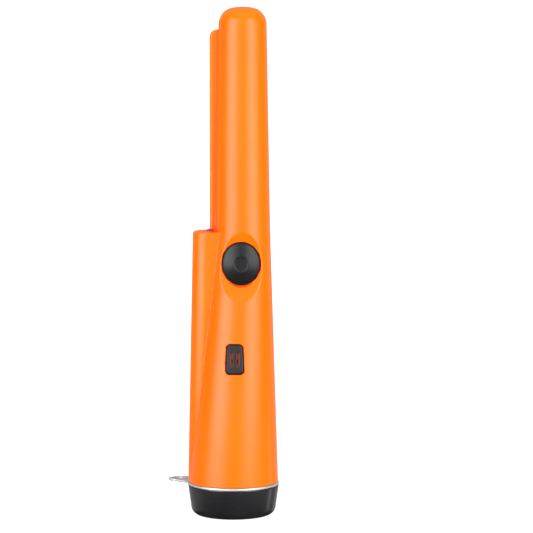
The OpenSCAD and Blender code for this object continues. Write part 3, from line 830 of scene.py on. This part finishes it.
def button_rings():
    """Rings of the button, from the dished middle of its face round to the end of its post."""
    n = 96
    angles = np.arange(n) * TAU / n
    face = BUTTON_FACE
    back = WELL_Y - 0.65
    outline = [
        (0.10, face + 0.16), (0.24, face + 0.16), (0.335, face + 0.14), (0.355, face + 0.08),
        (0.37, face + 0.01), (0.385, face), (0.41, face + 0.05), (0.50, face + 0.27),
        (0.62, face + 0.60), (0.74, face + 0.99), (0.85, face + 1.40), (0.93, face + 1.76),
        (0.965, face + 1.96), (0.985, face + 2.14), (0.997, face + 2.38), (1.0, face + 2.7),
        (1.0, back - 0.5), (0.997, back - 0.2), (0.985, back),
    ]
    rings = []
    for s, y in outline:
        x = BUTTON_X + BUTTON_A * s * np.cos(angles)
        z = BUTTON_Z + BUTTON_B * s * np.sin(angles)
        rings.append(np.stack([x, np.full(n, y), z], axis=1))
    post = [(POST_R + 0.4, back), (POST_R, back + 0.3), (POST_R, POST_END - 0.2), (POST_R - 0.2, POST_END)]
    for r, y in post:
        x = BUTTON_X + r * np.cos(angles)
        z = BUTTON_Z + r * np.sin(angles)
        rings.append(np.stack([x, np.full(n, y), z], axis=1))
    return rings


button = add_object(
    "button_cap", mesh_from_rings("button_cap", button_rings()), "button", "button_plastic", "power_button"
)
dress(button, "button_plastic")


def thread_height(angles, z, start, half_base, half_crest):
    """How far a screw thread's ridge stands at each angle of one height, as a share of its full height."""
    share = np.zeros_like(angles)
    for lap in range(int(TURNS) + 1):
        turned_by = angles / TAU + lap
        middle = start + PITCH * turned_by
        slope = (half_base - np.abs(z - middle)) / (half_base - half_crest)
        ends = np.minimum(turned_by, TURNS - turned_by) / 0.11
        share = np.maximum(share, np.clip(np.minimum(slope, ends), 0, 1))
    return share


def cap_bulge(angles, r, z):
    if abs(r - NECK_R) > 0.01 or z < CAP_H + 0.5:
        return 0
    return (NECK_CREST - NECK_R) * thread_height(angles, z, THREAD_Z, 0.5, 0.25)


cap_profile = [(CAP_FOOT_R * 0.5, 0)]
cap_profile += arc(CAP_FOOT_R, CAP_ROUND, CAP_ROUND, -90, -8, 12)
cap_profile += [(CAP_R - 0.02, CAP_H - 0.35)]
cap_profile += arc(CAP_R - 0.2, CAP_H - 0.18, 0.18, 10, 90, 4)
cap_profile += [(NECK_R + 0.2, CAP_H), (NECK_R, CAP_H + 0.2)]
cap_profile += rows(NECK_R, CAP_H + 0.2, NECK_TOP - 0.3, 0.16)
cap_profile += [(NECK_R - 0.25, NECK_TOP), (BAY_R + 0.15, NECK_TOP), (BAY_R, NECK_TOP - 0.2)]
cap_profile += [(BAY_R, BAY_FLOOR + 0.6), (BAY_R - 0.6, BAY_FLOOR), (BAY_R * 0.5, BAY_FLOOR)]
cap = add_object(
    "screw_cap", turned("screw_cap", cap_profile, bulge=cap_bulge), "cap", "black_plastic", "battery_cap"
)
dress(cap, "black_plastic")


def insert_bulge(angles, r, z):
    if abs(r - INSERT_ROOT) > 0.01:
        return 0
    return (INSERT_CREST - INSERT_ROOT) * thread_height(angles, z, THREAD_Z + PITCH / 2, 0.45, 0.2)


insert_profile = [(INSERT_R, INSERT_Z + 0.2), (INSERT_R, INSERT_TOP - 0.2), (INSERT_R - 0.2, INSERT_TOP)]
insert_profile += [(INSERT_ROOT + 0.15, INSERT_TOP), (INSERT_ROOT, INSERT_TOP - 0.15)]
insert_profile += rows(INSERT_ROOT, INSERT_TOP - 0.15, INSERT_Z + 0.15, 0.16)
insert_profile += [(INSERT_ROOT + 0.15, INSERT_Z), (INSERT_R - 0.2, INSERT_Z)]
insert = add_object(
    "insert_ring", turned("insert_ring", insert_profile, close_ends=False, bulge=insert_bulge),
    "root", "black_plastic", "thread_insert",
)
dress(insert, "black_plastic")

seal_low, seal_high = node_box("seal_ring")
SEAL_R = (seal_high[2] - seal_low[2]) / 2
seal_profile = arc(seal_high[0] - SEAL_R, (seal_low[2] + seal_high[2]) / 2, SEAL_R, 0, 345, 23)
seal = add_object(
    "cap_seal", turned("cap_seal", seal_profile, close_ends=False, sharp=80),
    "seal", "black_rubber", "seal_ring",
)
dress(seal, "black_rubber")


# ---------- lamp: a pink lens over a small reflector cup ----------

DOME_Z = LAMP_TOP - LAMP_R
FLANGE_R = lamp_high[0] - LAMP_X
lens_profile = [(FLANGE_R * 0.4, lamp_low[2])]
lens_profile += [(FLANGE_R - 0.1, lamp_low[2]), (FLANGE_R, lamp_low[2] + 0.1)]
lens_profile += [(FLANGE_R, lamp_low[2] + 0.9), (FLANGE_R - 0.1, lamp_low[2] + 1), (LAMP_R, lamp_low[2] + 1.05)]
lens_profile += arc(0, DOME_Z, LAMP_R, 0, 84, 16)
lens = add_object(
    "lamp_lens", turned("lamp_lens", lens_profile, 64, (LAMP_X, 0)), "root", "lamp_lens", "lamp"
)
dress(lens, "lamp_lens")

CUP_Z = lamp_low[2] + 1.6
cup_profile = [(0.3, CUP_Z), (1.2, CUP_Z), (1.5, CUP_Z + 1.8), (1.35, CUP_Z + 1.8), (0.7, CUP_Z + 0.9)]
cup_profile += [(0.2, CUP_Z + 0.85)]
cup = add_object("lamp_cup", turned("lamp_cup", cup_profile, 48, (LAMP_X, 0)), "root", "tinned_metal")
dress(cup, "tinned_metal")


# ---------- foam pads ----------


def pad(name, node_name, body):
    """A round foam pad: crowned faces and soft, slightly drawn-in sides."""
    low, high = node_box(node_name)
    r = (high[0] - low[0]) / 2
    h = high[2] - low[2]
    crown = 0.12 * h
    edge = 0.22 * h
    profile = [(r * 0.3, low[2]), (r * 0.7, low[2] + crown * 0.4), (r - edge, low[2] + crown)]
    profile += arc(r - edge, low[2] + crown + edge, edge, -70, 0, 5)
    profile += [(r - 0.06 * h, low[2] + h / 2)]
    profile += arc(r - edge, high[2] - crown - edge, edge, 0, 70, 5)
    profile += [(r - edge, high[2] - crown), (r * 0.7, high[2] - crown * 0.4), (r * 0.3, high[2])]
    centre = ((low[0] + high[0]) / 2, (low[1] + high[1]) / 2)
    piece = add_object(name, turned(name, profile, 96, centre, sharp=60), body, "grey_foam", node_name)
    dress(piece, "grey_foam")
    return piece


pad("battery_foam", "cap_pad", "cap")
pad("nose_foam", "nose_pad", "root")


# ---------- edges of the inside pieces ----------

for node_name, width in (
    ("battery", 0.3), ("battery_snap", 0.5), ("chassis", 0.15), ("main_board", 0.08),
    ("control_chip", 0.1), ("amplifier_chips", 0.1), ("voltage_regulator", 0.1),
    ("capacitors", 0.25), ("switch_body", 0.12), ("board_screws", 0.12), ("motor_can", 0.2),
    ("motor_weight", 0.15), ("coil_former", 0.15), ("ferrite_rod", 0.25), ("buzzer", 0.3),
):
    soften(frame["nodes"][node_name], width)


# ---------- floor, light and camera ----------


def plain(name, colour, glow):
    mat = bpy.data.materials.new(name)
    mat.use_nodes = True
    shader = mat.node_tree.nodes["Principled BSDF"]
    shader.inputs["Base Color"].default_value = (*colour, 1)
    shader.inputs["Roughness"].default_value = 0.9
    shader.inputs["Specular IOR Level"].default_value = 0.1
    shader.inputs["Emission Color"].default_value = (1, 1, 1, 1)
    shader.inputs["Emission Strength"].default_value = glow
    return mat


FLOOR_HALF = 30.0
bpy.ops.mesh.primitive_plane_add(size=2 * FLOOR_HALF, location=(0, 0, 0))
floor = bpy.context.object
floor.name = "floor"
floor.data.materials.append(plain("floor", (0.35, 0.35, 0.35), 0.95))
floor.visible_glossy = False

# Light of the studio as the shiny surfaces see it: an angle from the camera's side, turning to +X, and
# the brightness there
SOFTBOXES = [
    (-180, 0.25), (-155, 0.3), (-138, 0.6), (-125, 0.4), (-110, 0.06), (-95, 0.06), (-82, 0.6), (-70, 4.5),
    (-60, 8.0), (-48, 10.0), (-32, 7.5), (-22, 3.5), (-10, 1.2), (5, 0.8), (15, 2.0), (25, 4.8),
    (42, 9.2), (55, 7.0), (68, 3.5), (80, 0.5), (95, 0.04), (111, 0.06), (125, 0.5), (138, 0.6),
    (155, 0.3), (180, 0.25),
]
UNDER_SOFTBOXES = [
    (-180, 0.5), (-145, 0.45), (-97, 0.55), (-76, 0.25), (0, 0.22), (40, 0.22), (60, 0.35), (73, 0.4),
    (100, 0.4), (106, 1.2), (112, 1.2), (118, 0.3), (130, 0.3), (138, 0.5), (180, 0.5),
]
SURROUND_R = 0.45
# Height of each row of the surround, its share of the upper softboxes, and how bright it is
SURROUND_ROWS = [
    (-1.0, 0, 0.1), (-0.22, 0, 0.1), (-0.13, 0, 1), (-0.055, 0, 1), (0.05, 1, 1),
    (0.55, 1, 1), (0.7, 0, 1), (1.0, 0, 1),
]
OVERHEAD = 0.6


def studio_surround():
    """A ring of softboxes and dark flags round the object, which only reflections see."""
    n = 360
    verts = []
    levels = []
    for z, share, gain in SURROUND_ROWS:
        for i in range(n):
            a = TAU * i / n
            verts.append((SURROUND_R * math.sin(a), -SURROUND_R * math.cos(a), z))
            turn = (i * 360 / n + 180) % 360 - 180
            low = np.interp(turn, *zip(*UNDER_SOFTBOXES))
            high = np.interp(turn, *zip(*SOFTBOXES))
            levels.append(float(low + (high - low) * share) * gain)
    faces = []
    for row in range(len(SURROUND_ROWS) - 1):
        for i in range(n):
            a, b = row * n + i, row * n + (i + 1) % n
            faces.append((a, a + n, b + n, b))
    top = len(SURROUND_ROWS) * n
    for i in range(n):
        verts.append((*verts[top - n + i][:2], verts[top - n + i][2] + 0.01))
        levels.append(OVERHEAD)
    faces.append(tuple(range(top, top + n)))
    mesh = bpy.data.meshes.new("surround")
    mesh.from_pydata(verts, [], faces)
    light = mesh.color_attributes.new("light", "FLOAT_COLOR", "POINT")
    light.data.foreach_set("color", [c for level in levels for c in (level, level, level, 1)])
    mat = bpy.data.materials.new("surround")
    mat.use_nodes = True
    tree = mat.node_tree
    tree.nodes.clear()
    out = tree.nodes.new("ShaderNodeOutputMaterial")
    glow = tree.nodes.new("ShaderNodeEmission")
    shade = tree.nodes.new("ShaderNodeAttribute")
    shade.attribute_name = "light"
    tree.links.new(shade.outputs["Color"], glow.inputs["Color"])
    tree.links.new(glow.outputs["Emission"], out.inputs["Surface"])
    mesh.materials.append(mat)
    wall = bpy.data.objects.new("surround", mesh)
    bpy.context.scene.collection.objects.link(wall)
    wall.visible_camera = False
    wall.visible_diffuse = False
    wall.visible_shadow = False
    wall.visible_transmission = False


studio_surround()

world = bpy.data.worlds.new("studio")
bpy.context.scene.world = world
world.use_nodes = True
world.node_tree.nodes["Background"].inputs["Color"].default_value = (1, 1, 1, 1)
world.node_tree.nodes["Background"].inputs["Strength"].default_value = 0.7
world.cycles_visibility.glossy = False


def softbox(name, place, target, size, watts, glossy=False):
    data = bpy.data.lights.new(name, "AREA")
    data.shape = "RECTANGLE"
    data.size, data.size_y = size
    data.energy = watts
    lamp_obj = bpy.data.objects.new(name, data)
    bpy.context.scene.collection.objects.link(lamp_obj)
    lamp_obj.location = place
    aim = Vector(target) - Vector(place)
    lamp_obj.rotation_euler = aim.to_track_quat("-Z", "Y").to_euler()
    lamp_obj.visible_camera = False
    lamp_obj.visible_glossy = glossy
    return lamp_obj


MIDDLE = (0.0, 0.0, 0.115)
softbox("left_front", (-0.9, -1.2, 0.7), MIDDLE, (0.6, 0.9), 5.0)
softbox("right_front", (0.9, -1.1, 0.6), MIDDLE, (0.6, 0.9), 8.0)
softbox("top_front", (0.1, -0.7, 1.2), MIDDLE, (0.7, 0.4), 8.0)

sun = bpy.data.lights.new("overhead", "SUN")
sun.energy = 1.0
sun.angle = math.radians(60)
sun_obj = bpy.data.objects.new("overhead", sun)
bpy.context.scene.collection.objects.link(sun_obj)
sun_obj.visible_glossy = False

CAMERA_AIM = (0.0149, 0.0, 0.11245)
CAMERA_AWAY = 1.826
CAMERA_UP = math.radians(7.2)

camera_data = bpy.data.cameras.new("camera")
camera_data.lens = 275
camera_data.sensor_width = 36
camera = bpy.data.objects.new("camera", camera_data)
bpy.context.scene.collection.objects.link(camera)
camera.location = (
    CAMERA_AIM[0],
    CAMERA_AIM[1] - CAMERA_AWAY * math.cos(CAMERA_UP),
    CAMERA_AIM[2] + CAMERA_AWAY * math.sin(CAMERA_UP),
)
camera.rotation_euler = (math.radians(90) - CAMERA_UP, 0, 0)
bpy.context.scene.camera = camera
bpy.context.scene.view_settings.view_transform = "Standard"
